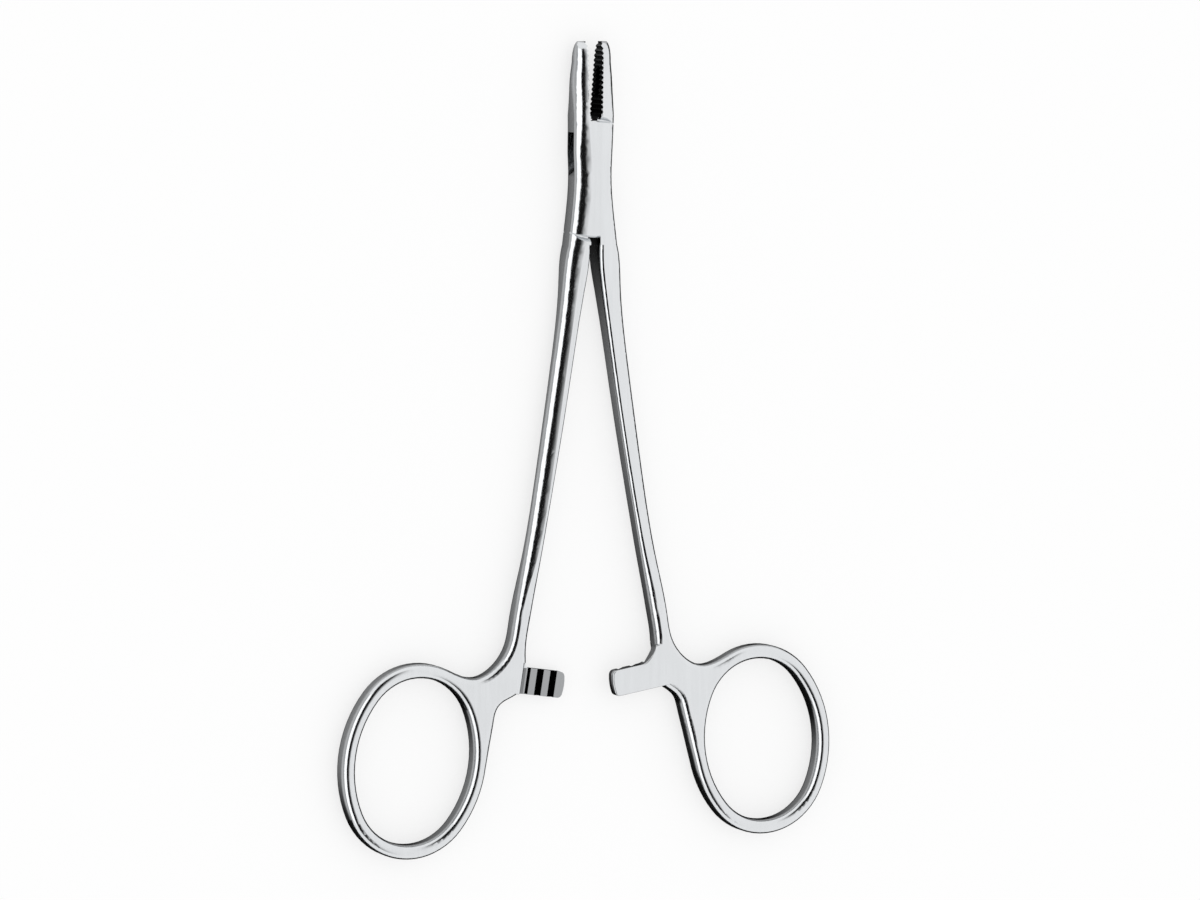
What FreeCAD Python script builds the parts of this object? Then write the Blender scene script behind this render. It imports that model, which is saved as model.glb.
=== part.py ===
import FreeCAD, Part
import math
import os

# A 125 mm needle holder with a box lock, in polished stainless steel.
#
# It is three pieces. The female half is one forging: the right finger ring, the yoke with the
# upper ratchet, the right shank, the box with its two cheeks, and the left jaw. The male half is
# the other forging: the left ring, the lower ratchet, the left shank, a thin tongue that passes
# through the box, and the right jaw. A riveted pin, ground flush, holds the tongue in the box.
#
# The frame: X across, Y along the instrument towards the jaws, Z up. The pivot is the Z axis and
# the underside of the box lies on z = 0. Both halves stand as they do with the handles apart.
# Everything is drawn about the middle plane, for the right side, and lifted at the end.

# Driving dimensions, in millimetres and degrees

# Places along the instrument, measured from the pivot
jaw_reach = 21.4
jaw_root_y = 9.9
throat_y = 9.9
crotch_y = 14.8
upper_shank_y = 22.0
middle_shank_y = 38.0
lower_shank_y = 54.0
neck_y = 66.0
ring_centre_y = 88.6
ring_centre_x = 29.7

# Box
box_thickness = 4.6
waist_half_width = 3.12
throat_half_width = 4.1
jaw_root_half_width = 3.62
flank_crown = 2.4
flank_round = 1.2
cheek_low_radius = 8.75
cheek_high_radius = 9.2
cheek_bevel = 0.25
shoulder_bevel = 0.5
lock_gap = 0.2

# Tongue, slot and pin
tongue_thickness = 2.0
slot_clearance = 0.05
slot_half_length = 7.4
tongue_flank_half_width = 3.2
tongue_heel = 0.5
pin_diameter = 2.6
pin_head_diameter = 3.1
pin_head_depth = 0.35
pin_running_clearance = 0.04

# Shanks: inner edge, width and thickness at each place
throat_inner = 0.8
crotch_inner = 1.15
crotch_width = 3.62
crotch_thickness = 4.0
upper_shank_inner = 2.3
upper_shank_width = 3.2
upper_shank_thickness = 3.3
middle_shank_inner = 4.88
middle_shank_width = 2.95
middle_shank_thickness = 2.95
lower_shank_inner = 7.75
lower_shank_width = 2.65
lower_shank_thickness = 2.9
neck_inner = 10.05
neck_width = 2.8
neck_straight = 1.0
inner_round = 0.6
outer_crown = 2.0
outer_round = 1.25

# Finger ring: an oval of four arcs, whose end arcs have a share of the short radius
ring_hole_long_radius = 12.9
ring_hole_short_radius = 9.8
ring_end_share = 0.88
ring_bar = 2.23
ring_lean = 8.6
handle_thickness = 3.3
handle_round = 1.0

# Yoke between the shank, the ring and the ratchet
yoke_outer_x = 14.3
yoke_outer_y = 72.3
valley_x = 18.9
valley_y = 76.15
valley_end_angle = -18.3
yoke_inner_x = 11.05
yoke_inner_y = 72.5
arm_foot_inset = 0.6
arm_foot_sink = 0.4
heel_out = 3.05
heel_drop = 2.5
heel_bend_out = 0.95
heel_bend_drop = 3.4
heel_end_angle = 274.7

# Ratchet arms
ratchet_root_x = 12.6
ratchet_root_y = 76.95
female_ratchet_length = 9.1
male_ratchet_length = 8.6
ratchet_width = 4.1
ratchet_droop = 9.0
ratchet_corner = 0.8
ratchet_end_crown = 0.3
ratchet_gap = 0.1
ratchet_cove = 1.6
ratchet_cove_run = 0.5
female_root_fillet = 2.0
male_root_fillet = 0.5
arm_edge_round = 0.2
tooth_count = 3
tooth_pitch = 2.25
tooth_groove = 1.15
tooth_depth = 0.8
tooth_land = 1.5

# Jaws
jaw_face_offset = 0.464
jaw_face_angle = 2.56
jaw_middle_y = 15.0
jaw_middle_half_width = 3.55
jaw_middle_height = 3.8
jaw_nose_half_width = 3.3
jaw_nose_height = 3.3
jaw_nose_length = 3.2
jaw_tip_depth = 0.55
female_jaw_lean = 2.5
jaw_edge_round = 0.2
jaw_top_flat = 0.1
jaw_middle_roundness = 0.9
jaw_nose_roundness = 0.95
jaw_nose_blunt = 0.06
serration_pitch = 0.75
serration_depth = 0.3
serration_length = 11.9
window_width = 1.4
window_length = 4.6
window_from_tip = 6.2
window_depth = 1.2

# Spacing of the sections that the lofts pass through
shank_step = 6.5
box_step = 2.5
jaw_step = 1.4
nose_step = 0.4

# Room for tools that cut: how far they run past the material, and past a root fillet
past = 1.0
root_lift = 1.3
relief_margin = 0.2
nearly = 0.01

# Values worked out from the dimensions
box_half = box_thickness / 2
tongue_half = tongue_thickness / 2
slot_half = tongue_half + slot_clearance
handle_half = handle_thickness / 2
nose_start = jaw_reach - jaw_nose_length
ring_end_radius = ring_end_share * ring_hole_short_radius
ring_end_offset = ring_hole_long_radius - ring_end_radius
ring_side_radius = (ring_end_offset ** 2 + ring_hole_short_radius ** 2 - ring_end_radius ** 2) / (
    2 * (ring_hole_short_radius - ring_end_radius))
ring_side_offset = ring_side_radius - ring_hole_short_radius
ring_switch_angle = math.degrees(math.atan2(ring_side_offset, ring_end_offset))


def vec(x, y, z=0.0):
    return FreeCAD.Vector(x, y, z)


def smooth(y, stations):
    """Value at y of a smooth curve through (y, value) stations, in rising y."""
    ys = [station[0] for station in stations]
    values = [station[1] for station in stations]
    slopes = []
    for index in range(len(ys)):
        low = max(index - 1, 0)
        high = min(index + 1, len(ys) - 1)
        slopes.append((values[high] - values[low]) / (ys[high] - ys[low]))
    index = 0
    while index < len(ys) - 2 and y > ys[index + 1]:
        index += 1
    span = ys[index + 1] - ys[index]
    t = (y - ys[index]) / span
    start = values[index] * (1 + 2 * t) * (1 - t) ** 2 + slopes[index] * span * t * (1 - t) ** 2
    end = values[index + 1] * t * t * (3 - 2 * t) + slopes[index + 1] * span * t * t * (t - 1)
    return start + end


def quarter(start, corner, end):
    """Quarter of an ellipse from start to end, tangent to both sides of the corner."""
    curve = Part.BezierCurve()
    curve.setPoles([start, corner, end])
    curve.setWeight(2, math.sqrt(0.5))
    return curve.toShape()


def section(y, inner, outer, half, inner_corner, outer_corner):
    """Closed section at y: an upright bar with elliptical corners, given as (width, height)."""
    ia, ib = inner_corner
    oa, ob = outer_corner
    edges = []
    edges.append(Part.makeLine(vec(inner, y, ib - half), vec(inner, y, half - ib)))
    edges.append(quarter(vec(inner, y, half - ib), vec(inner, y, half), vec(inner + ia, y, half)))
    edges.append(Part.makeLine(vec(inner + ia, y, half), vec(outer - oa, y, half)))
    edges.append(quarter(vec(outer - oa, y, half), vec(outer, y, half), vec(outer, y, half - ob)))
    edges.append(Part.makeLine(vec(outer, y, half - ob), vec(outer, y, ob - half)))
    edges.append(quarter(vec(outer, y, ob - half), vec(outer, y, -half), vec(outer - oa, y, -half)))
    edges.append(Part.makeLine(vec(outer - oa, y, -half), vec(inner + ia, y, -half)))
    edges.append(quarter(vec(inner + ia, y, -half), vec(inner, y, -half), vec(inner, y, ib - half)))
    return Part.Wire(edges)


def prism(points, low, high):
    """Upright prism over a plan polygon, from z = low to z = high."""
    corners = [vec(x, y, low) for x, y in points]
    return Part.Face(Part.makePolygon(corners + corners[:1])).extrude(vec(0, 0, high - low))


def mirrored(shape):
    return shape.mirror(vec(0, 0, 0), vec(1, 0, 0))


def spaced(start, end, step):
    """Evenly spaced values from start to end, at most one step apart."""
    count = math.ceil(abs(end - start) / step)
    return [start + (end - start) * index / count for index in range(count + 1)]


# Outer flank of the right side, from the neck to the nose of the jaw
flank_stations = [
    (-neck_y, neck_inner + neck_width),
    (-lower_shank_y, lower_shank_inner + lower_shank_width),
    (-middle_shank_y, middle_shank_inner + middle_shank_width),
    (-upper_shank_y, upper_shank_inner + upper_shank_width),
    (-crotch_y, crotch_inner + crotch_width),
    (-throat_y, throat_half_width),
    (0, waist_half_width),
    (jaw_root_y, jaw_root_half_width),
    (jaw_middle_y, jaw_middle_half_width),
    (nose_start, jaw_nose_half_width),
]
inner_stations = [
    (-neck_y, neck_inner),
    (-lower_shank_y, lower_shank_inner),
    (-middle_shank_y, middle_shank_inner),
    (-upper_shank_y, upper_shank_inner),
    (-crotch_y, crotch_inner),
    (-throat_y, throat_inner),
]
thickness_stations = [
    (-neck_y, handle_thickness),
    (-lower_shank_y, lower_shank_thickness),
    (-middle_shank_y, middle_shank_thickness),
    (-upper_shank_y, upper_shank_thickness),
    (-crotch_y, crotch_thickness),
    (-throat_y, box_thickness),
]
neck_slope = (neck_inner - lower_shank_inner) / (neck_y - lower_shank_y)
neck_stretch = math.sqrt(1 + neck_slope ** 2)


def flank(y):
    return smooth(y, flank_stations)


def jaw_face(y):
    return jaw_face_offset + math.tan(math.radians(jaw_face_angle)) * y


def shank():
    """Right shank: a bar with a flat inner wall and a well rounded outer side."""
    neck_round = handle_round * neck_stretch
    inner_width = [(-neck_y, neck_round), (-lower_shank_y, inner_round), (-throat_y, inner_round)]
    inner_height = [(-neck_y, handle_round), (-lower_shank_y, inner_round), (-throat_y, inner_round)]
    outer_width = [(-neck_y, neck_round), (-lower_shank_y, outer_crown)]
    outer_width += [(-upper_shank_y, outer_crown), (-throat_y, flank_crown)]
    outer_height = [(-neck_y, handle_round), (-lower_shank_y, outer_round)]
    outer_height += [(-upper_shank_y, outer_round), (-throat_y, flank_round)]
    wires = []
    for y in spaced(-neck_y, -throat_y, shank_step):
        half = smooth(y, thickness_stations) / 2
        inner_corner = (smooth(y, inner_width), smooth(y, inner_height))
        outer_corner = (smooth(y, outer_width), smooth(y, outer_height))
        wires.append(section(y, smooth(y, inner_stations), flank(y), half, inner_corner, outer_corner))
    return Part.makeLoft(wires, True, False)


def box_body():
    """Outer form of the whole box, crowned on both flanks."""
    crown = (flank_crown, flank_round)
    wires = []
    for y in spaced(-throat_y, jaw_root_y, box_step):
        wires.append(section(y, -flank(y), flank(y), box_half, crown, crown))
    return Part.makeLoft(wires, True, False)


def jaw_section(y, lean):
    """Section of the right jaw at y, leaning towards the middle by an angle from its root up."""
    heights = [(jaw_root_y, box_thickness), (jaw_middle_y, jaw_middle_height), (nose_start, jaw_nose_height)]
    rounds = [(jaw_root_y, flank_round), (jaw_middle_y, jaw_middle_roundness * jaw_middle_height / 2),
              (nose_start, jaw_nose_roundness * jaw_nose_height / 2)]
    along = max(0.0, (y - nose_start) / jaw_nose_length)
    shrink = math.sqrt(1 - along ** 2)
    reach = min(y, nose_start)
    face = jaw_face(y) - (y - jaw_root_y) * math.tan(math.radians(lean))
    depth = (flank(reach) - jaw_face(reach)) * (jaw_tip_depth + (1 - jaw_tip_depth) * shrink)
    edge = jaw_edge_round * shrink
    back = (min(flank_crown, depth - edge - jaw_top_flat), smooth(reach, rounds) * shrink)
    return section(y, face, face + depth, smooth(reach, heights) / 2 * shrink, (edge, edge), back)


def jaw(lean):
    """Right jaw: a flat face and a rounded back that taper to a blunt, rounded nose."""
    blade = [jaw_section(y, lean) for y in spaced(jaw_root_y, nose_start, jaw_step)]
    nose = [jaw_section(y, lean) for y in spaced(nose_start, jaw_reach - jaw_nose_blunt, nose_step)]
    whole = Part.makeLoft(blade, True, False).fuse(Part.makeLoft(nose, True, False))
    return whole.cut(serrations(lean))


def serrations(lean):
    """Comb of V grooves across the face of the right jaw, with the blind oval window."""
    count = int(serration_length / serration_pitch)
    points = [(-past, 0.0)]
    for index in range(count):
        start = -index * serration_pitch
        points.append((0.0, start))
        points.append((serration_depth, start - serration_pitch / 2))
    points.append((0.0, -count * serration_pitch))
    points.append((-past, -count * serration_pitch))
    comb = prism(points, -box_thickness, box_thickness)
    straight = window_length - window_width
    corner = vec(-past, -straight / 2, -window_width / 2)
    window = Part.makeBox(past + window_depth, straight, window_width, corner)
    for end in (-straight / 2, straight / 2):
        round_end = Part.makeCylinder(window_width / 2, past + window_depth, vec(-past, end, 0), vec(1, 0, 0))
        window = window.fuse(round_end)
    window.translate(vec(0, -window_from_tip, 0))
    tool = comb.fuse(window)
    tool.rotate(vec(0, 0, 0), vec(0, 0, 1), lean - jaw_face_angle)
    tip = jaw_face(jaw_reach) - (jaw_reach - jaw_root_y) * math.tan(math.radians(lean))
    tool.translate(vec(tip, jaw_reach, 0))
    return tool


def leaned(along, across):
    """Plan vector from its parts along and across the ring's long axis."""
    lean = math.radians(ring_lean)
    x = across * math.cos(lean) - along * math.sin(lean)
    y = along * math.cos(lean) + across * math.sin(lean)
    return vec(x, y)


def ring_point(angle, grow):
    """Point of the ring's oval, grown by a width, whose normal is at an angle from the long axis."""
    along = math.cos(math.radians(angle))
    across = math.sin(math.radians(angle))
    if abs(along) >= math.cos(math.radians(ring_switch_angle)):
        centre = leaned(math.copysign(ring_end_offset, along), 0)
        radius = ring_end_radius + grow
    else:
        centre = leaned(0, -math.copysign(ring_side_offset, across))
        radius = ring_side_radius + grow
    return vec(ring_centre_x, -ring_centre_y, -handle_half) + centre + leaned(along * radius, across * radius)


def ring_direction(angle):
    """Direction of the ring's oval at an angle, on towards larger angles."""
    return leaned(-math.sin(math.radians(angle)), math.cos(math.radians(angle)))


def ring_arcs(start, end, grow):
    """The ring's oval, grown by a width, from one angle on to a larger one, as arcs."""
    switches = [-ring_switch_angle, ring_switch_angle, 180 - ring_switch_angle]
    switches += [180 + ring_switch_angle, 360 - ring_switch_angle]
    stops = [start] + [angle for angle in switches if start < angle < end] + [end]
    arcs = []
    for a, b in zip(stops, stops[1:]):
        arc = Part.Arc(ring_point(a, grow), ring_point((a + b) / 2, grow), ring_point(b, grow))
        arcs.append(arc.toShape())
    return arcs


def through(points, start_direction, end_direction):
    """Smooth curve through points, with a given direction at each end."""
    length = sum((b - a).Length for a, b in zip(points, points[1:]))
    curve = Part.BSplineCurve()
    start = start_direction.normalize() * length
    end = end_direction.normalize() * length
    curve.interpolate(Points=points, InitialTangent=start, FinalTangent=end)
    return curve.toShape()


def handle_plate():
    """Ring and yoke: one flat plate with heavily rounded edges, cut square to Y at the neck."""
    low = -handle_half
    neck_direction = vec(neck_slope, -1)
    neck_outer_end = vec(neck_inner + neck_width, -neck_y, low)
    neck_inner_end = vec(neck_inner, -neck_y, low)
    outer_start = neck_outer_end + neck_direction * neck_straight
    inner_stop = neck_inner_end + neck_direction * neck_straight
    outer_points = [outer_start, vec(yoke_outer_x, -yoke_outer_y, low), vec(valley_x, -valley_y, low)]
    outer_points.append(ring_point(valley_end_angle, ring_bar))
    outer = through(outer_points, neck_direction, ring_direction(valley_end_angle))
    inner_end = ring_point(heel_end_angle, ring_bar)
    foot = vec(ratchet_root_x - arm_foot_inset, arm_foot_sink - ratchet_root_y - ratchet_width / 2, low)
    heel = foot + vec(heel_out, -heel_drop)
    heel_bend = heel + vec(heel_bend_out, -heel_bend_drop)
    inner_points = [inner_end, heel_bend, heel, foot]
    inner_points += [vec(yoke_inner_x, -yoke_inner_y, low), inner_stop]
    inner = through(inner_points, ring_direction(heel_end_angle), neck_direction * -1)
    rim = ring_arcs(valley_end_angle, heel_end_angle, ring_bar)
    neck = [Part.makeLine(inner_stop, neck_inner_end), Part.makeLine(neck_inner_end, neck_outer_end)]
    neck.append(Part.makeLine(neck_outer_end, outer_start))
    outline = Part.Wire([outer] + rim + [inner] + neck)
    hole = Part.Wire(ring_arcs(-ring_switch_angle, 360 - ring_switch_angle, 0))
    solid = Part.Face(outline).extrude(vec(0, 0, handle_thickness))
    solid = solid.cut(Part.Face(hole).extrude(vec(0, 0, handle_thickness)))
    rounded = []
    for edge in solid.Edges:
        box = edge.BoundBox
        if box.ZLength < nearly < box.YLength:
            rounded.append(edge)
    return solid.makeFillet(handle_round, rounded)


def upright_edges(solid, feet):
    """Edges of a solid that rise in Z from the given points."""
    found = []
    for edge in solid.Edges:
        for vertex in edge.Vertexes:
            rises = edge.BoundBox.ZLength > handle_half
            if rises and min((vertex.Point - foot).Length for foot in feet) < nearly:
                found.append(edge)
    return found


def ratchet_arm(root_fillet, length):
    """Right ratchet arm at full thickness, with rounded edges and a filleted inner corner."""
    half = ratchet_width / 2
    knee = ratchet_root_x - yoke_inner_x
    low = -handle_half
    tip_top = vec(length - ratchet_end_crown, half, low)
    tip_low = vec(length - ratchet_end_crown, -half, low)
    corner = vec(knee, half, low)
    lift = half + root_lift * root_fillet
    rise = vec(knee + (lift - half) * math.tan(math.radians(ratchet_droop)), lift, low)
    edges = [Part.makeLine(vec(-past, -half, low), tip_low)]
    edges.append(Part.Arc(tip_low, vec(length, 0, low), tip_top).toShape())
    edges.append(Part.makeLine(tip_top, corner))
    edges.append(Part.makeLine(corner, rise))
    edges.append(Part.makeLine(rise, vec(-past, lift, low)))
    edges.append(Part.makeLine(vec(-past, lift, low), vec(-past, -half, low)))
    arm = Part.Face(Part.Wire(edges)).extrude(vec(0, 0, handle_thickness))
    arm = arm.makeFillet(ratchet_corner, upright_edges(arm, [tip_top, tip_low]))
    arm = arm.makeFillet(root_fillet, upright_edges(arm, [corner]))
    rims = []
    for edge in arm.Edges:
        box = edge.BoundBox
        if box.ZLength < nearly and box.XMax > knee + nearly:
            rims.append(edge)
    return arm.makeFillet(arm_edge_round, rims)


def ratchet_relief(reach, length):
    """What is cut from an arm to leave its lower layer: a cove at the root, then the teeth."""
    first = ratchet_root_x - yoke_inner_x + ratchet_cove_run
    floor = -ratchet_gap / 2
    top = handle_half + past
    start = first - ratchet_cove
    bend = vec(start + ratchet_cove * (1 - math.sqrt(0.5)), 0, floor + ratchet_cove * (1 - math.sqrt(0.5)))
    edges = [Part.Arc(vec(start, 0, floor + ratchet_cove), bend, vec(first, 0, floor)).toShape()]
    points = [vec(first, 0, floor)]
    for index in range(tooth_count):
        groove_end = length - tooth_land - index * tooth_pitch
        points.insert(1, vec(groove_end, 0, floor))
        points.insert(1, vec(groove_end, 0, floor - tooth_depth))
        points.insert(1, vec(groove_end - tooth_groove, 0, floor))
    points.append(vec(length + past, 0, floor))
    points.append(vec(length + past, 0, top))
    points.append(vec(start, 0, top))
    points.append(vec(start, 0, floor + ratchet_cove))
    for a, b in zip(points, points[1:]):
        edges.append(Part.makeLine(a, b))
    tool = Part.Face(Part.Wire(edges)).extrude(vec(0, 2 * reach, 0))
    tool.translate(vec(0, -reach, 0))
    return tool


def place_arm(shape):
    """Turn and move a shape from the arm's own frame, root at zero, to the right side."""
    shape.rotate(vec(0, 0, 0), vec(0, 1, 0), 180)
    shape.rotate(vec(0, 0, 0), vec(0, 0, 1), ratchet_droop)
    shape.translate(vec(ratchet_root_x, -ratchet_root_y, 0))
    return shape


def handle(root_fillet, length):
    """Ring, yoke and shank with the ratchet arm as the lower layer, right side."""
    arm = place_arm(ratchet_arm(root_fillet, length))
    whole = handle_plate().fuse(arm)
    relief = ratchet_relief(ratchet_width / 2 + root_lift * root_fillet + relief_margin, length)
    relief.rotate(vec(0, 0, 0), vec(1, 0, 0), 180)
    whole = whole.cut(place_arm(relief))
    return whole.fuse(shank())


def flipped(shape):
    """Turn a shape over, top to bottom, where it lies."""
    return shape.mirror(vec(0, 0, 0), vec(0, 0, 1))


def pin():
    """Pivot pin with its riveted ends filling the countersinks, ground flush with the box."""
    body = pin_diameter / 2
    head = pin_head_diameter / 2
    points = [vec(0, 0, -box_half), vec(head, 0, -box_half), vec(body, 0, pin_head_depth - box_half)]
    points += [vec(body, 0, box_half - pin_head_depth), vec(head, 0, box_half), vec(0, 0, box_half)]
    return Part.Face(Part.makePolygon(points + points[:1])).revolve(vec(0, 0, 0), vec(0, 0, 1), 360)


def drum(radius, flare):
    """Upright drum about the pivot whose rims flare out, or draw in, at the box's two faces."""
    rim = box_half - abs(flare)
    top = box_half + past
    wide = radius + math.copysign(top - rim, flare)
    points = [vec(0, 0, -top), vec(wide, 0, -top), vec(radius, 0, -rim)]
    points += [vec(radius, 0, rim), vec(wide, 0, top), vec(0, 0, top)]
    return Part.Face(Part.makePolygon(points + points[:1])).revolve(vec(0, 0, 0), vec(0, 0, 1), 360)


def outside(radius, flare, sign, inner_x):
    """Corner of the box beyond a drum: sign 1 by the right jaw, -1 by the left shank."""
    edge = inner_x * sign
    wide = 2 * throat_half_width
    long = 2 * throat_y
    points = [(edge, 0), (wide * sign, 0), (wide * sign, long * sign), (edge, long * sign)]
    return prism(points, -box_half, box_half).cut(drum(radius, flare))


def slot():
    """Slot through the box, from its left flank to its right one, closed by a wall at each root."""
    wide = 2 * throat_half_width
    long = 2 * throat_y
    face = jaw_face(jaw_root_y)
    points = [(-wide, -long), (throat_inner, -long), (throat_inner, -slot_half_length)]
    points += [(wide, -slot_half_length), (wide, long), (-face, long)]
    points += [(-face, slot_half_length), (-wide, slot_half_length)]
    return prism(points, -slot_half, slot_half)


def tongue():
    """Plan of the tongue, cut from the box so that its flanks are flush with the box."""
    wide = 2 * throat_half_width
    face = jaw_face(jaw_root_y)
    points = [(-wide, -throat_y), (-throat_inner, -throat_y), (-throat_inner, -slot_half_length)]
    points += [(tongue_flank_half_width, -tongue_heel), (wide, -tongue_heel), (wide, jaw_root_y)]
    points += [(face, jaw_root_y), (face / 2, slot_half_length)]
    points += [(-tongue_flank_half_width, tongue_heel), (-wide, tongue_heel)]
    return prism(points, -tongue_half, tongue_half)


def female_half(body):
    left_jaw = mirrored(jaw(female_jaw_lean))
    opening_low = outside(cheek_low_radius, -cheek_bevel, -1, -throat_inner)
    opening_high = outside(cheek_high_radius, -cheek_bevel, 1, -jaw_face(jaw_root_y))
    box = body.cut(opening_low).cut(opening_high).cut(slot())
    whole = box.fuse(flipped(handle(female_root_fillet, female_ratchet_length))).fuse(left_jaw)
    return whole.cut(pin())


def male_half(body):
    right_jaw = jaw(0)
    left_handle = mirrored(handle(male_root_fillet, male_ratchet_length))
    low_radius = cheek_low_radius + lock_gap
    high_radius = cheek_high_radius + lock_gap
    low = body.common(outside(low_radius, shoulder_bevel, -1, throat_inner))
    high = body.common(outside(high_radius, shoulder_bevel, 1, jaw_face(jaw_root_y)))
    whole = body.common(tongue()).fuse(low).fuse(high).fuse(left_handle).fuse(right_jaw)
    bore = Part.makeCylinder(pin_diameter / 2 + pin_running_clearance, box_thickness, vec(0, 0, -box_half))
    return whole.cut(bore)


def main():
    os.makedirs("parts", exist_ok=True)
    body = box_body()
    nodes = {
        "female_half": female_half(body),
        "male_half": male_half(body),
        "pivot_pin": pin(),
    }
    for name, shape in nodes.items():
        shape.translate(vec(0, 0, box_half))
        solids = len(shape.Solids)
        print(name, "valid", shape.isValid(), "solids", solids, "volume", round(shape.Volume, 1))
        shape.exportStep("parts/" + name + ".step")


main()
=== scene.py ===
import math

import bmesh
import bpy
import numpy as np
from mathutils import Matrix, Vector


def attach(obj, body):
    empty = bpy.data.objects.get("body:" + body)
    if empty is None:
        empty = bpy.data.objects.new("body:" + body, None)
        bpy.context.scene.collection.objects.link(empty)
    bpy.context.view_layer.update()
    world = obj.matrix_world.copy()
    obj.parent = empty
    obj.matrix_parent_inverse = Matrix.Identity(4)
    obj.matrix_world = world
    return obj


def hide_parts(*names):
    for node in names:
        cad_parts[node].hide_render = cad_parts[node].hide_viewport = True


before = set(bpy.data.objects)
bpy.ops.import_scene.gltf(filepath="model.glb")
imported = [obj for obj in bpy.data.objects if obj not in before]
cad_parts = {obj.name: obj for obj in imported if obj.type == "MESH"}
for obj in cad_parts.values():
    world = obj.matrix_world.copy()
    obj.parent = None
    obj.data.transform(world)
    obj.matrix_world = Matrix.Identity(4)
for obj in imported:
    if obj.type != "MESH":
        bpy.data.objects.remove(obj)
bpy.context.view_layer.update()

# %% [markdown]
# # A needle holder in polished stainless steel
# The instrument is two forgings that cross in a box lock, and the rivet that they turn on. The
# CAD model has all three, so no piece is added here. What is left for Blender is what makes
# polished steel look like steel: a few walls as a grinder's hand leaves them, a surface that is
# nearly a mirror, and something for it to mirror.

MM = 0.001

# %% [markdown]
# ## The camera
# The photograph looks down on the instrument from a little over the left side, 25 degrees from
# straight above. The far side of each ring and the left walls of both shanks show because of it.
# A long lens keeps the rings and the jaws at one scale, so the camera is far away and its field
# of view is narrow. A camera can be turned by three angles, or by a constraint that tracks a
# target. Here its axes are worked out from the direction that it looks in, so that the lean, the
# tilt and the small roll are one value each.

# %% Camera
LEAN = math.radians(25)
TILT = 0.095
DISTANCE = 870 * MM
ROLL = math.radians(0.2)
TARGET = Vector((1.9, -41.85, 2.3)) * MM
HALF_WIDTH = 92.94 * MM
CLIP_START = 10 * MM
CLIP_END = 10

toward = Vector((-math.sin(LEAN), TILT, 0))
toward.z = math.sqrt(1 - toward.length_squared)
right = Vector((0, 1, 0)).cross(toward).normalized()
up = toward.cross(right)
turned_right = right * math.cos(ROLL) + up * math.sin(ROLL)
turned_up = up * math.cos(ROLL) - right * math.sin(ROLL)

camera_data = bpy.data.cameras.new("camera")
camera_data.angle = 2 * math.atan(HALF_WIDTH / DISTANCE)
camera_data.clip_start = CLIP_START
camera_data.clip_end = CLIP_END
camera = bpy.data.objects.new("camera", camera_data)
axes = Matrix((turned_right, turned_up, toward)).transposed().to_4x4()
camera.matrix_world = Matrix.Translation(TARGET + toward * DISTANCE) @ axes
bpy.context.scene.collection.objects.link(camera)
bpy.context.scene.camera = camera
bpy.context.scene.view_settings.view_transform = "Standard"
print("camera at, mm:", [round(v / MM, 1) for v in camera.location])

# %% [markdown]
# ## Walls that are ground by hand
# A grinder finishes each forging freehand on a belt, so some walls lie beside the CAD model's, by
# up to 1 mm. A lattice or a sculpting brush could move them by eye. Here short formulas say how
# far a point moves in X, so that the walls stay as exact as they were measured. A copy of each
# half is moved, because the CAD object itself is left alone. The formulas are in millimetres and
# written for the right half. The left half goes through them as its mirror image.

# %% Helpers for moving walls
RIGHT, LEFT = 1, -1


def read_vectors(items, name):
    """One vector of each item, as the rows of an array."""
    values = np.empty(3 * len(items), np.float32)
    items.foreach_get(name, values)
    return values.reshape(-1, 3).astype(float)


def eased(value, start, full):
    """0 at the start and 1 at the full value with a smooth rise between, and how fast it rises."""
    run = full - start
    part = np.clip((value - start) / run, 0, 1)
    return part * part * (3 - 2 * part), 6 * part * (1 - part) / run


# %% [markdown]
# The photograph shows one straight wall under each yoke, from its heel down to the ring, where
# the CAD model's wall swings by up to 0.45 mm. The left yoke is also hollowed at its heel. So the
# wall is read from the mesh, a straight line is laid from one of its ends to the other, and
# everything near it moves along, as far as the flat of the yoke and of the ring goes.

# %% The wall under the yoke
FLANK_TOP = -82.2
FLANK_ENDS = {RIGHT: -92.3, LEFT: -90.5}
HEEL_HOLLOWS = {RIGHT: 0.0, LEFT: 0.75}
HEEL_START = -78.9
HEEL_FULL = -80.4
HEEL_FOOT = 12.4
YOKE_END = -86.0
YOKE_INSIDE = 2.5
RING_INSIDE = 1.17
WALL_NEAR, WALL_FAR = 13, 20.5
WALL_BEYOND_TOP = 1.2
WALL_BEYOND_END = 2
LARGEST_UPWARD = 0.05
LEAST_INWARD = 0.3


def flank_wall(points, normals):
    """The wall under the yoke, for rising Y: the Y, the X and the slope of each of its points."""
    x, y = points[:, 0], points[:, 1]
    upright = (np.abs(normals[:, 2]) < LARGEST_UPWARD) & (normals[:, 0] < -LEAST_INWARD)
    beside = (x > WALL_NEAR) & (x < WALL_FAR)
    along = (y > min(FLANK_ENDS.values()) - WALL_BEYOND_END) & (y < FLANK_TOP + WALL_BEYOND_TOP)
    found = np.flatnonzero(upright & beside & along)
    found = found[np.argsort(y[found])]
    return y[found], x[found], -normals[found, 1] / normals[found, 0]


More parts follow.
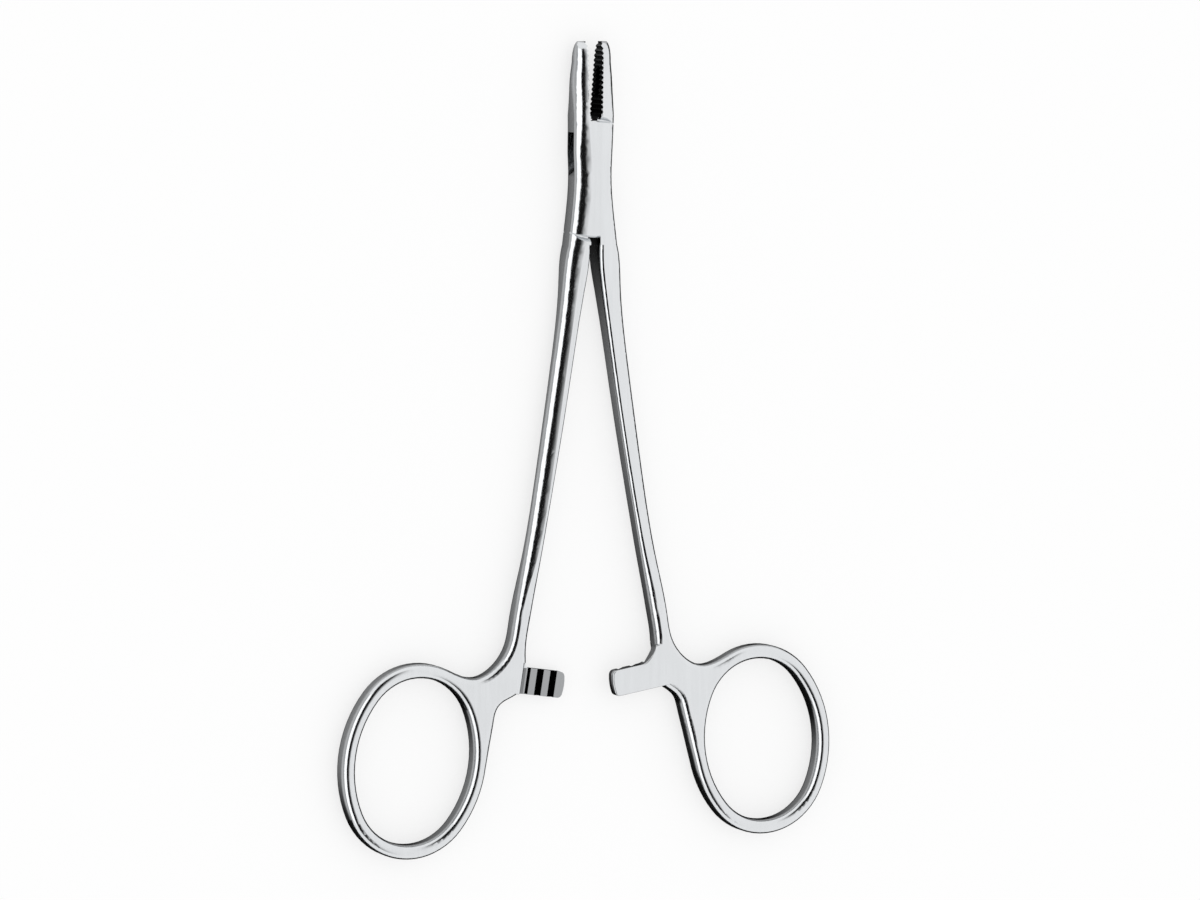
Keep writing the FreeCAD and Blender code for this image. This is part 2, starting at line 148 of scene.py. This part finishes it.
def flank_shift(points, wall, side):
    """How far the flank's points move in X, and how fast that changes along X and along Y."""
    x, y = points[:, 0], points[:, 1]
    wall_y, wall_x, wall_slope = wall
    end, hollow = FLANK_ENDS[side], HEEL_HOLLOWS[side]
    low, high = np.interp((end, FLANK_TOP), wall_y, wall_x)
    slope = (high + hollow - low) / (FLANK_TOP - end)
    now = np.interp(y, wall_y, wall_x)
    inside = x < now + np.where(y > YOKE_END, YOKE_INSIDE, RING_INSIDE)
    flank = inside & (y > end) & (y < FLANK_TOP)
    heel = inside & (y >= FLANK_TOP) & (x > HEEL_FOOT)
    part, growth = eased(y, HEEL_START, HEEL_FULL)
    shift = flank * (low + slope * (y - end) - now) + heel * hollow * part
    turn = flank * (slope - np.interp(y, wall_y, wall_slope)) + heel * hollow * growth
    return shift, np.zeros(len(points)), turn


# %% [markdown]
# The upper ratchet arm runs into the inner edge of its shank with no step, where the CAD model's
# root stands 1 mm proud. The root is pressed back towards the shank's edge, by most of that at its
# top and by less further down. The lower arm's root fits already, and hardly moves.

# %% The root of the ratchet arm
STEP_WALL = 11.05
STEP_TOP = -72.2
STEP_FULL = -72.8
STEP_END = -75.0
STEP_SHARE = 0.85


def step_shift(points):
    """How far the arm's root moves in X, and how fast that changes along X and along Y."""
    x, y = points[:, 0], points[:, 1]
    moved = (x < STEP_WALL) & (y > STEP_END) & (y < STEP_TOP)
    part, growth = eased(y, STEP_END, STEP_FULL)
    share = moved * STEP_SHARE * part
    return share * (STEP_WALL - x), -share, moved * STEP_SHARE * growth * (STEP_WALL - x)


# %% [markdown]
# Where the jaws leave the box, both sides bulge more in the CAD model than in the photograph. The
# sides go in, most at one height and less above and below it, while the jaws' faces stay.

# %% The bulge at the root of the jaws
BULGE_Y = 9.9
BULGE_REACH = 6.5
BULGE_INNER = 1.4
BULGE_OUTER = 3.2
BULGE_LEFT = 0.4
BULGE_RIGHT = 0.15


def jaw_shift(points, side):
    """How far the jaws' bulge moves in X, and how fast that changes along X and along Y."""
    x, y = points[:, 0], points[:, 1]
    off = np.clip((y - BULGE_Y) / BULGE_REACH, -1, 1)
    bump = (1 - off ** 2) ** 2
    bump_growth = -4 * off * (1 - off ** 2) / BULGE_REACH
    part, growth = eased(np.abs(x), BULGE_INNER, BULGE_OUTER)
    inward = -np.sign(x) * np.where(side * x > 0, BULGE_RIGHT, BULGE_LEFT)
    return inward * bump * part, inward * bump * growth * np.sign(x), inward * bump_growth * part


# %% [markdown]
# The CAD mesh is loose along its edges, so the copy's points are merged before they move. Smooth
# shading comes from a normal for each corner of each triangle. A corner attribute carries these
# through the merge, and then they turn as the surface under them does.

# %% A ground copy of each half
SAME_PLACE = 0.00001 * MM


def merged_copy(source):
    """A copy of a CAD mesh with its doubled points merged, and the normals of its corners."""
    mesh = source.copy()
    carried = mesh.attributes.new("carried_normal", "FLOAT_VECTOR", "CORNER")
    normals = read_vectors(source.corner_normals, "vector")
    carried.data.foreach_set("vector", normals.astype(np.float32).ravel())
    shape = bmesh.new()
    shape.from_mesh(mesh)
    bmesh.ops.remove_doubles(shape, verts=shape.verts, dist=SAME_PLACE)
    shape.to_mesh(mesh)
    shape.free()
    carried = mesh.attributes["carried_normal"]
    normals = read_vectors(carried.data, "vector")
    mesh.attributes.remove(carried)
    return mesh, normals


def shifts(points, wall, side):
    """The sum of all shifts in X, and how fast it changes along X and along Y."""
    parts = [flank_shift(points, wall, side), step_shift(points), jaw_shift(points, side)]
    return np.sum(parts, axis=0)


def turned_normals(normals, growth_x, growth_y):
    """Normals after a shift in X that grows along X and along Y."""
    across = normals[:, 0] / (1 + growth_x)
    turned = np.stack((across, normals[:, 1] - growth_y * across, normals[:, 2]), axis=1)
    return turned / np.linalg.norm(turned, axis=1, keepdims=True)


def ground_copy(node, side):
    """A copy of a half with ground walls."""
    mesh, normals = merged_copy(node.data)
    mirror = np.array((side, 1, 1))
    normals *= mirror
    points = read_vectors(mesh.vertices, "co") * mirror / MM
    corners = points[[loop.vertex_index for loop in mesh.loops]]
    wall = flank_wall(corners, normals)
    growth_x, growth_y = shifts(corners, wall, side)[1:]
    turned = turned_normals(normals, growth_x, growth_y) * mirror
    shift = shifts(points, wall, side)[0]
    points[:, 0] += shift
    mesh.vertices.foreach_set("co", (points * mirror * MM).astype(np.float32).ravel())
    mesh.update()
    mesh.normals_split_custom_set(turned.tolist())
    piece = bpy.data.objects.new("ground_" + node.name, mesh)
    bpy.context.scene.collection.objects.link(piece)
    moved, furthest = np.count_nonzero(shift), round(np.abs(shift).max(), 2)
    print(piece.name, "moves", moved, "of", len(points), "points by up to", furthest, "mm")
    return piece


halves = {}
for name, body, side in (("female_half", "female", RIGHT), ("male_half", "male", LEFT)):
    halves[name] = ground_copy(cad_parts[name], side)
    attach(halves[name], body)
    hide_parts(name)

# %% [markdown]
# ## Helpers for materials
# A material is a small network of nodes. One function adds a node with its settings and links,
# and another turns the hex colours that people write down into the linear numbers that the
# renderer works with.

# %% Colour and node helpers
def linear(code):
    """The linear colour of an sRGB hex code such as d8d8d8."""
    channels = []
    for index in (0, 2, 4):
        value = int(code[index:index + 2], 16) / 255
        channels.append(value / 12.92 if value <= 0.04045 else ((value + 0.055) / 1.055) ** 2.4)
    return (*channels, 1.0)


def add_node(tree, kind, settings=None, values=None, links=None):
    """Adds a node, sets its properties and input values, and links its inputs."""
    node = tree.nodes.new(kind)
    for name, value in (settings or {}).items():
        setattr(node, name, value)
    for name, value in (values or {}).items():
        node.inputs[name].default_value = value
    for name, socket in (links or {}).items():
        tree.links.new(socket, node.inputs[name])
    return node


# %% [markdown]
# ## Painted shade where the steel is cut
# In the photograph the jaw's teeth and the ratchet's grooves are nearly black, and the ratchet's
# lands between them are a flat grey. That shade is painted into the steel's colour. A second
# material could be given to those faces one by one. Instead the one material finds them from the
# CAD's own coordinates: how deep a point lies behind the jaw's face, or under the plane in which
# the two ratchets pass. So it holds on any mesh of this shape. All values are in mm.

# %% Helpers that calculate with sockets
def calc(tree, operation, *terms):
    """A maths node on numbers and sockets, in the order given; returns its result."""
    node = add_node(tree, "ShaderNodeMath", {"operation": operation})
    for socket, term in zip(node.inputs, terms):
        if isinstance(term, (int, float)):
            socket.default_value = term
        else:
            tree.links.new(term, socket)
    return node.outputs["Value"]


def rises(tree, value, low, high):
    """0 below one value and 1 above the other, with a smooth step between."""
    node = add_node(tree, "ShaderNodeMapRange", {"interpolation_type": "SMOOTHSTEP"},
                    {"From Min": low, "From Max": high}, {"Value": value})
    return node.outputs["Result"]


def below(tree, value, high, soft):
    """1 below a value and 0 above it, with a soft end."""
    return calc(tree, "SUBTRACT", 1, rises(tree, value, high, high + soft))


def within(tree, value, low, high, soft):
    """1 between two values and 0 outside, with soft ends."""
    start = rises(tree, value, low - soft, low)
    return calc(tree, "SUBTRACT", start, rises(tree, value, high, high + soft))


# %% [markdown]
# Each jaw's face is a comb of grooves across it, with an oval pocket in the middle. Seen from
# above, a face runs at a slight slant, so a point's depth is counted from a slanting line. Shade
# is painted into the grooves and the pocket, and less of it on the crests, as in the photograph.

# %% Painted shade of the jaws' teeth
MIDDLE = 2.3
SOFT = 0.02
JAW_ROOT = 9.9
JAW_ROOT_SOFT = 0.2
JAW_FACE = 0.907
FACE_SLOPES = {"left": 0.001, "right": 0.0447}
CREST_SHADE = 0.71
GROOVE_SHADE = 0.97
GROOVE_START, GROOVE_FULL = 0.02, 0.1
TEETH_DEPTHS = (-0.05, 0.33)
POCKET_DEPTHS = (0.1, 1.3)
POCKET_MIDDLE = 15.2
POCKET_HALF_LENGTH = 2.35
POCKET_HALF_HEIGHT = 0.74


def painted_teeth_shade(tree, x, y, z, upright):
    """How much shade is painted on a jaw's face: less on the crests, more in the grooves and the
    pocket.
    """
    right_side = calc(tree, "GREATER_THAN", x, 0)
    slope = calc(tree, "MULTIPLY_ADD", right_side, FACE_SLOPES["right"] - FACE_SLOPES["left"],
                 FACE_SLOPES["left"])
    from_root = calc(tree, "SUBTRACT", y, JAW_ROOT)
    face = calc(tree, "MULTIPLY_ADD", slope, from_root, JAW_FACE)
    depth = calc(tree, "SUBTRACT", calc(tree, "ABSOLUTE", x), face)
    groove = calc(tree, "MULTIPLY_ADD", rises(tree, depth, GROOVE_START, GROOVE_FULL),
                  GROOVE_SHADE - CREST_SHADE, CREST_SHADE)
    on_face = within(tree, depth, *TEETH_DEPTHS, SOFT)
    comb = calc(tree, "MULTIPLY", calc(tree, "MULTIPLY", groove, on_face), upright)
    height = calc(tree, "ABSOLUTE", calc(tree, "SUBTRACT", z, MIDDLE))
    along = calc(tree, "ABSOLUTE", calc(tree, "SUBTRACT", y, POCKET_MIDDLE))
    pocket = calc(tree, "MULTIPLY", within(tree, depth, *POCKET_DEPTHS, SOFT),
                  below(tree, height, POCKET_HALF_HEIGHT, SOFT))
    pocket = calc(tree, "MULTIPLY", pocket, below(tree, along, POCKET_HALF_LENGTH, SOFT))
    shade = calc(tree, "MAXIMUM", comb, pocket)
    return calc(tree, "MULTIPLY", shade, rises(tree, from_root, -JAW_ROOT_SOFT, 0))


# %% [markdown]
# The ratchet's notches lie on the side of each arm that faces the other arm, between flat lands,
# and a hollow cove leads down to them from the yoke. Shade is painted on the cove, the lands and
# the notches. The arm droops, so a point's place is counted along the arm and across it, from the
# arm's root.

# %% Painted shade of the ratchet
ARM_ROOT = (12.6, -76.95)
ARM_DROOP = math.radians(9)
ARM_LENGTH = 9.3
ARM_HALF_WIDTH = 2.05
BRIGHT_RIM = 0.03
LAYER_GAP = 0.05
LAND_SHADE = 0.5
LAND_DEPTHS = (-0.03, 0.03)
NOTCH_SHADE = 0.93
NOTCH_DEPTHS = (0.07, 0.85)
COVE_SHADE = 0.72
COVE_DEPTHS = (-1.6, -0.03)
COVE_START, COVE_END = 0.45, 2.05


def painted_ratchet_shade(tree, x, y, z):
    """How much shade is painted on the notched side of a ratchet arm: grey cove and lands, black
    notches.
    """
    across = calc(tree, "SUBTRACT", calc(tree, "ABSOLUTE", x), ARM_ROOT[0])
    down = calc(tree, "SUBTRACT", y, ARM_ROOT[1])
    along = calc(tree, "MULTIPLY_ADD", across, -math.cos(ARM_DROOP),
                 calc(tree, "MULTIPLY", down, -math.sin(ARM_DROOP)))
    side = calc(tree, "MULTIPLY_ADD", across, -math.sin(ARM_DROOP),
                calc(tree, "MULTIPLY", down, math.cos(ARM_DROOP)))
    lift = calc(tree, "MULTIPLY", calc(tree, "SUBTRACT", z, MIDDLE), calc(tree, "SIGN", x))
    depth = calc(tree, "SUBTRACT", lift, LAYER_GAP)
    land = calc(tree, "MULTIPLY", within(tree, depth, *LAND_DEPTHS, SOFT), LAND_SHADE)
    notch = calc(tree, "MULTIPLY", within(tree, depth, *NOTCH_DEPTHS, 2 * SOFT), NOTCH_SHADE)
    cove = calc(tree, "MULTIPLY", within(tree, depth, *COVE_DEPTHS, SOFT), COVE_SHADE)
    cove = calc(tree, "MULTIPLY", cove, within(tree, along, COVE_START, COVE_END, SOFT))
    shade = calc(tree, "MAXIMUM", calc(tree, "MAXIMUM", land, notch), cove)
    shade = calc(tree, "MULTIPLY", shade, within(tree, along, COVE_START, ARM_LENGTH, SOFT))
    width = below(tree, calc(tree, "ABSOLUTE", side), ARM_HALF_WIDTH - BRIGHT_RIM, SOFT / 2)
    return calc(tree, "MULTIPLY", shade, width)


# %% [markdown]
# ## Polished stainless steel
# The forging is ground, tumbled and buffed until it mirrors the room. Up close the buffing wheel
# leaves very fine lines along each shank, which blur the mirror a little more in one place than in
# the next, and faint streaks in the tone. A slow waviness of about a hundredth of a millimetre is
# what makes the reflections on real steel swim a little. The shader's anisotropy could stretch
# the reflections, but the real ones stay sharp. So the lines, which are finer than a pixel, live
# in the roughness, and the waviness lives in a weak bump. The colour is that of stainless steel,
# a cool grey and never pure white. Sizes are in mm.

# %% Helpers for the pattern of the steel
GRAIN_ROUGHNESS = 0.6


def stretched_noise(tree, place, size, stretch, detail):
    """Noise whose grain is one size across the instrument and much longer along it."""
    scale = (1 / size, 1 / (size * stretch), 1 / size)
    drawn = add_node(tree, "ShaderNodeMapping", values={"Scale": scale}, links={"Vector": place})
    noise = add_node(tree, "ShaderNodeTexNoise",
                     values={"Scale": 1.0, "Detail": detail, "Roughness": GRAIN_ROUGHNESS},
                     links={"Vector": drawn.outputs["Vector"]})
    return noise.outputs["Fac"]


def even_noise(tree, place, size, detail):
    """Noise whose grain is one size all ways."""
    noise = add_node(tree, "ShaderNodeTexNoise", values={"Scale": 1 / size, "Detail": detail},
                     links={"Vector": place})
    return noise.outputs["Fac"]


def spread(tree, value, taken, given):
    """Stretches one range of values to another."""
    node = add_node(tree, "ShaderNodeMapRange",
                    values={"From Min": taken[0], "From Max": taken[1],
                            "To Min": given[0], "To Max": given[1]},
                    links={"Value": value})
    return node.outputs["Result"]


# %% Polished steel material
STEEL_COLOUR = "dadcde"
STEEL_ROUGHNESS = 0.14
LINE_SIZE, LINE_STRETCH, LINE_DETAIL = 0.12, 30, 3.0
LINE_NOISE = (0.3, 0.7)
LINE_BLUR = (0.75, 1.3)
STREAK_SIZE, STREAK_STRETCH, STREAK_DETAIL = 0.5, 24, 2.0
STREAK_SHARE = 0.5
CLOUD_SIZE, CLOUD_DETAIL = 9, 2.0
TONE_NOISE = (0.35, 0.65)
TONE = (0.955, 1.0)
WAVE_SIZE, WAVE_DETAIL = 6, 1.0
WAVE_HEIGHT = 0.3
WAVE_STRENGTH = 0.05
UPRIGHT_BELOW, UPRIGHT_SOFT = 0.5, 0.25


def polished_steel(name, colour, roughness, painted_groove_shade=False):
    """Buffed stainless steel with fine polishing lines along Y, and painted shade on the jaws'
    faces and the ratchet's notched sides when that is asked for.
    """
    material = bpy.data.materials.new(name)
    material.use_nodes = True
    tree = material.node_tree
    shader = tree.nodes["Principled BSDF"]
    shader.inputs["Metallic"].default_value = 1.0
    place = add_node(tree, "ShaderNodeTexCoord")
    in_mm = add_node(tree, "ShaderNodeVectorMath", {"operation": "SCALE"}, {"Scale": 1 / MM},
                     {0: place.outputs["Object"]}).outputs["Vector"]
    lines = stretched_noise(tree, in_mm, LINE_SIZE, LINE_STRETCH, LINE_DETAIL)
    streaks = stretched_noise(tree, in_mm, STREAK_SIZE, STREAK_STRETCH, STREAK_DETAIL)
    cloud = even_noise(tree, in_mm, CLOUD_SIZE, CLOUD_DETAIL)
    swell = even_noise(tree, in_mm, WAVE_SIZE, WAVE_DETAIL)
    blur = spread(tree, lines, LINE_NOISE, [roughness * share for share in LINE_BLUR])
    mixed = calc(tree, "MULTIPLY_ADD", streaks, STREAK_SHARE,
                 calc(tree, "MULTIPLY", cloud, 1 - STREAK_SHARE))
    bright = spread(tree, mixed, TONE_NOISE, TONE)
    # Painted shade: the jaws' faces and the ratchet's notched sides are darkened in the colour.
    if painted_groove_shade:
        axes = add_node(tree, "ShaderNodeSeparateXYZ", links={"Vector": in_mm})
        facing = add_node(tree, "ShaderNodeSeparateXYZ", links={"Vector": place.outputs["Normal"]})
        x, y, z = (axes.outputs[axis] for axis in "XYZ")
        upward = calc(tree, "ABSOLUTE", facing.outputs["Z"])
        teeth = painted_teeth_shade(tree, x, y, z, below(tree, upward, UPRIGHT_BELOW, UPRIGHT_SOFT))
        shade = calc(tree, "MAXIMUM", teeth, painted_ratchet_shade(tree, x, y, z))
        bright = calc(tree, "MULTIPLY", bright, calc(tree, "SUBTRACT", 1, shade))
    tint = add_node(tree, "ShaderNodeVectorMath", {"operation": "SCALE"}, {0: linear(colour)[:3]},
                    {"Scale": bright})
    tree.links.new(tint.outputs["Vector"], shader.inputs["Base Color"])
    tree.links.new(blur, shader.inputs["Roughness"])
    wave = add_node(tree, "ShaderNodeBump",
                    values={"Strength": WAVE_STRENGTH, "Distance": WAVE_HEIGHT * MM},
                    links={"Height": swell})
    tree.links.new(wave.outputs["Normal"], shader.inputs["Normal"])
    return material


# %% [markdown]
# The rivet is ground flush with the crowned cheeks, so that it can't be seen. In the CAD model its
# ends are flat. Shaping them would take a new piece for a difference of 0.07 mm, so the material
# only turns their normals to the slope that the crown has at each place.

# %% The ends of the rivet, and what each piece wears
CROWN_START = 0.72
CROWN_WIDTH = 2.4
CROWN_HEIGHT = 1.2


def ground_to_the_crown(material):
    """Gives the rivet's ends the slope of the crowned cheek that they are ground flush with."""
    tree = material.node_tree
    place = add_node(tree, "ShaderNodeTexCoord")
    axes = add_node(tree, "ShaderNodeSeparateXYZ", links={"Vector": place.outputs["Object"]})
    x = calc(tree, "DIVIDE", axes.outputs["X"], MM)
    out = calc(tree, "SUBTRACT", calc(tree, "ABSOLUTE", x), CROWN_START)
    out = calc(tree, "DIVIDE", calc(tree, "MAXIMUM", out, 0), CROWN_WIDTH)
    rest = calc(tree, "SQRT", calc(tree, "SUBTRACT", 1, calc(tree, "MULTIPLY", out, out)))
    slope = calc(tree, "MULTIPLY", calc(tree, "DIVIDE", out, rest), CROWN_HEIGHT / CROWN_WIDTH)
    aside = calc(tree, "MULTIPLY", slope, calc(tree, "SIGN", x))
    upward = calc(tree, "SIGN", calc(tree, "SUBTRACT", axes.outputs["Z"], MIDDLE * MM))
    normal = add_node(tree, "ShaderNodeCombineXYZ", links={"X": aside, "Z": upward})
    unit = add_node(tree, "ShaderNodeVectorMath", {"operation": "NORMALIZE"},
                    links={0: normal.outputs["Vector"]})
    tree.links.new(unit.outputs["Vector"], tree.nodes["Principled BSDF"].inputs["Normal"])


# The forging's material carries the painted shade of the teeth and the ratchet.
forged = polished_steel("polished_forging", STEEL_COLOUR, STEEL_ROUGHNESS, painted_groove_shade=True)
riveted = polished_steel("ground_rivet", STEEL_COLOUR, STEEL_ROUGHNESS)
ground_to_the_crown(riveted)
for name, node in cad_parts.items():
    finish = riveted if name == "pivot_pin" else forged
    for worn_by in (node, halves.get(name, node)):
        worn_by.data.materials.clear()
        worn_by.data.materials.append(finish)
    print(name, "wears", finish.name, "of", len(finish.node_tree.nodes), "nodes")

# %% [markdown]
# ## The table and the light
# Polished steel has no look of its own: it shows the room. Lamps would show in it as hot spots,
# so the room here is one plain pale light all round. The instrument lies on white paper. For the
# eye, the paper fades to pure white as in the photograph and keeps a soft shadow under the steel.
# Mirror-like rays pass through it to what is set up for them further down, and are only dimmed
# where the instrument lies close to the paper.

# %% Helpers for staged sheets
def plane(name, width, height, place, facing, material):
    """A flat staged sheet that faces one way: its height runs along Y, its width across that."""
    mesh = bpy.data.meshes.new(name)
    shape = bmesh.new()
    bmesh.ops.create_grid(shape, x_segments=1, y_segments=1, size=0.5)
    bmesh.ops.scale(shape, vec=(width, height, 1), verts=shape.verts)
    along = Vector((0, 1, 0))
    turn = Matrix((along.cross(facing).normalized(), along, facing)).transposed().to_4x4()
    bmesh.ops.transform(shape, matrix=Matrix.Translation(place) @ turn, verts=shape.verts)
    shape.to_mesh(mesh)
    shape.free()
    mesh.materials.append(material)
    piece = bpy.data.objects.new(name, mesh)
    bpy.context.scene.collection.objects.link(piece)
    return piece


def mixed_surface(name, first, second, share):
    """A material that mixes two shaders by a share, which gets the tree and a light path."""
    material = bpy.data.materials.new(name)
    material.use_nodes = True
    tree = material.node_tree
    tree.nodes.clear()
    path = add_node(tree, "ShaderNodeLightPath")
    mixed = add_node(tree, "ShaderNodeMixShader")
    tree.links.new(share(tree, path), mixed.inputs[0])
    tree.links.new(first(tree), mixed.inputs[1])
    tree.links.new(second(tree), mixed.inputs[2])
    add_node(tree, "ShaderNodeOutputMaterial", links={"Surface": mixed.outputs["Shader"]})
    return material


def matt(code):
    """Maker of a matt surface of one colour."""
    values = {"Color": linear(code)}
    return lambda tree: add_node(tree, "ShaderNodeBsdfDiffuse", values=values).outputs["BSDF"]


def glow(strength):
    """Maker of plain white light."""
    values = {"Strength": strength}
    return lambda tree: add_node(tree, "ShaderNodeEmission", values=values).outputs["Emission"]


def shaded_glow(tree, strength):
    """White light whose strength comes from a socket."""
    return add_node(tree, "ShaderNodeEmission", links={"Strength": strength}).outputs["Emission"]


def clear(tree):
    """Lets every ray through."""
    return add_node(tree, "ShaderNodeBsdfTransparent").outputs["BSDF"]


# %% Room light
ROOM_LIGHT = 1.08

world = bpy.data.worlds.new("studio")
bpy.context.scene.world = world
world.use_nodes = True
background = world.node_tree.nodes["Background"]
background.inputs["Color"].default_value = (1, 1, 1, 1)
background.inputs["Strength"].default_value = ROOM_LIGHT
print("room light of strength", ROOM_LIGHT)

# %% Paper
UPWARD = Vector((0, 0, 1))
PAPER_COLOUR = "f3f3f3"
PAPER_SIZE = 4.0
PAPER_DROP = 0.02 * MM
PAPER_GLOW = 0.7
CONTACT_REACH = 7 * MM
CONTACT_POWER = 2.5
CONTACT_SAMPLES = 8


def seen_share(tree, path):
    """How much of the white glow a ray sees: a share for the eye and for images of the paper."""
    seen = calc(tree, "ADD", path.outputs["Is Camera Ray"], path.outputs["Is Glossy Ray"])
    seen = calc(tree, "ADD", seen, path.outputs["Is Transmission Ray"])
    return calc(tree, "MULTIPLY", calc(tree, "MINIMUM", seen, 1), PAPER_GLOW)


def hide_from_mirrors(material):
    """Lets mirror-like rays through a material, dimmed where the instrument shades it."""
    tree = material.node_tree
    output = next(node for node in tree.nodes if node.type == "OUTPUT_MATERIAL")
    surface = output.inputs["Surface"].links[0].from_socket
    path = add_node(tree, "ShaderNodeLightPath")
    shade = add_node(tree, "ShaderNodeAmbientOcclusion", {"samples": CONTACT_SAMPLES},
                     {"Distance": CONTACT_REACH})
    open_share = calc(tree, "POWER", shade.outputs["AO"], CONTACT_POWER)
    through = add_node(tree, "ShaderNodeBsdfTransparent", links={"Color": open_share})
    mixed = add_node(tree, "ShaderNodeMixShader")
    tree.links.new(path.outputs["Is Glossy Ray"], mixed.inputs[0])
    tree.links.new(surface, mixed.inputs[1])
    tree.links.new(through.outputs["BSDF"], mixed.inputs[2])
    tree.links.new(mixed.outputs["Shader"], output.inputs["Surface"])


paper = mixed_surface("white_paper", matt(PAPER_COLOUR), glow(1.0), seen_share)
hide_from_mirrors(paper)
floor = plane("floor", PAPER_SIZE, PAPER_SIZE, Vector((0, 0, -PAPER_DROP)), UPWARD, paper)
print("floor lies at z =", min(v.co.z for v in floor.data.vertices))

# %% [markdown]
# ## What the steel mirrors
# On every rounded edge a black band runs beside a white one. They are mirror images of two things
# near the lens: the dark front of the camera stand, which fades into the room on its right, and a
# long bright window on its left. Area lamps would light the paper too. So each is a card that only
# mirror-like rays can see: it shapes the reflections and adds no light to the paper.

# %% Cards that only the steel sees
STAND_FROM, STAND_TO = -21, 29
STAND_LENGTH = 3.0
STAND_DISTANCE = 1.5
STAND_LIGHT = 0.012
STAND_BLACK = 0.58
WINDOW_FROM, WINDOW_TO = 30, 70
WINDOW_LENGTH = 2.6
WINDOW_DISTANCE = 1.6
WINDOW_LIGHT = 1.6


def mirror_only(tree, path):
    """1 for the rays that leave a mirror-like surface, 0 for all others."""
    return path.outputs["Is Glossy Ray"]


def fading(tree):
    """Light of the stand: black for its left part, then fading into the room light."""
    place = add_node(tree, "ShaderNodeTexCoord")
    axes = add_node(tree, "ShaderNodeSeparateXYZ", links={"Vector": place.outputs["Generated"]})
    fade = rises(tree, axes.outputs["X"], STAND_BLACK, 1.0)
    light = calc(tree, "MULTIPLY_ADD", fade, ROOM_LIGHT - STAND_LIGHT, STAND_LIGHT)
    return shaded_glow(tree, light)


def card(name, left_start, left_end, length, distance, light):
    """A card over the instrument, between two angles from straight up, counted to the left."""
    middle = math.radians((left_start + left_end) / 2)
    half = math.radians((left_end - left_start) / 2)
    away = Vector((-math.sin(middle), 0, math.cos(middle)))
    width = 2 * distance * math.tan(half)
    material = mixed_surface(name, clear, light, mirror_only)
    print(name, "is", round(width, 2), "m wide")
    return plane(name, width, length, TARGET + away * distance, away, material)


card("dark_stand", STAND_FROM, STAND_TO, STAND_LENGTH, STAND_DISTANCE, fading)
card("bright_window", WINDOW_FROM, WINDOW_TO, WINDOW_LENGTH, WINDOW_DISTANCE, glow(WINDOW_LIGHT))

# %% [markdown]
# Steep walls mirror what lies low around the instrument. In the photograph they are darkest where
# they face the viewer's feet, mid grey where they face left, and every outline on the right ends in
# a thin dark line. So the room has a grey wall low on the left, and a bench below the paper that
# goes from black at the near side to grey at the far left.

# %% Bench and wall that only the steel sees
BENCH_DEPTH = 0.3
BENCH_SIZE = 4.4
BENCH_LIGHT = 0.6
BENCH_DARK = 0.015
BENCH_ACROSS, BENCH_ALONG = 0.6, -0.8
BENCH_FADE_START, BENCH_FADE_END = -0.05, 0.13
WALL_LIGHT = 0.5
WALL_HEIGHT = 1.05


def bench_glow(tree):
    """Light of the bench: grey at the far left, black from the near side round to the right."""
    place = add_node(tree, "ShaderNodeTexCoord")
    axes = add_node(tree, "ShaderNodeSeparateXYZ", links={"Vector": place.outputs["Object"]})
    across = calc(tree, "MULTIPLY", axes.outputs["X"], BENCH_ACROSS)
    near_right = calc(tree, "MULTIPLY_ADD", axes.outputs["Y"], BENCH_ALONG, across)
    dark = rises(tree, near_right, BENCH_FADE_START, BENCH_FADE_END)
    light = calc(tree, "MULTIPLY_ADD", dark, BENCH_DARK - BENCH_LIGHT, BENCH_LIGHT)
    return shaded_glow(tree, light)


bench = mixed_surface("grey_bench", clear, bench_glow, mirror_only)
plane("bench", BENCH_SIZE, BENCH_SIZE, Vector((0, 0, -BENCH_DEPTH)), UPWARD, bench)
low_wall = mixed_surface("grey_wall", clear, glow(WALL_LIGHT), mirror_only)
wall_middle = Vector((-BENCH_SIZE / 2, 0, WALL_HEIGHT / 2 - BENCH_DEPTH))
plane("left_wall", WALL_HEIGHT, BENCH_SIZE, wall_middle, Vector((1, 0, 0)), low_wall)
print("bench of", BENCH_SIZE, "m, and a wall of", WALL_HEIGHT, "m on its left")
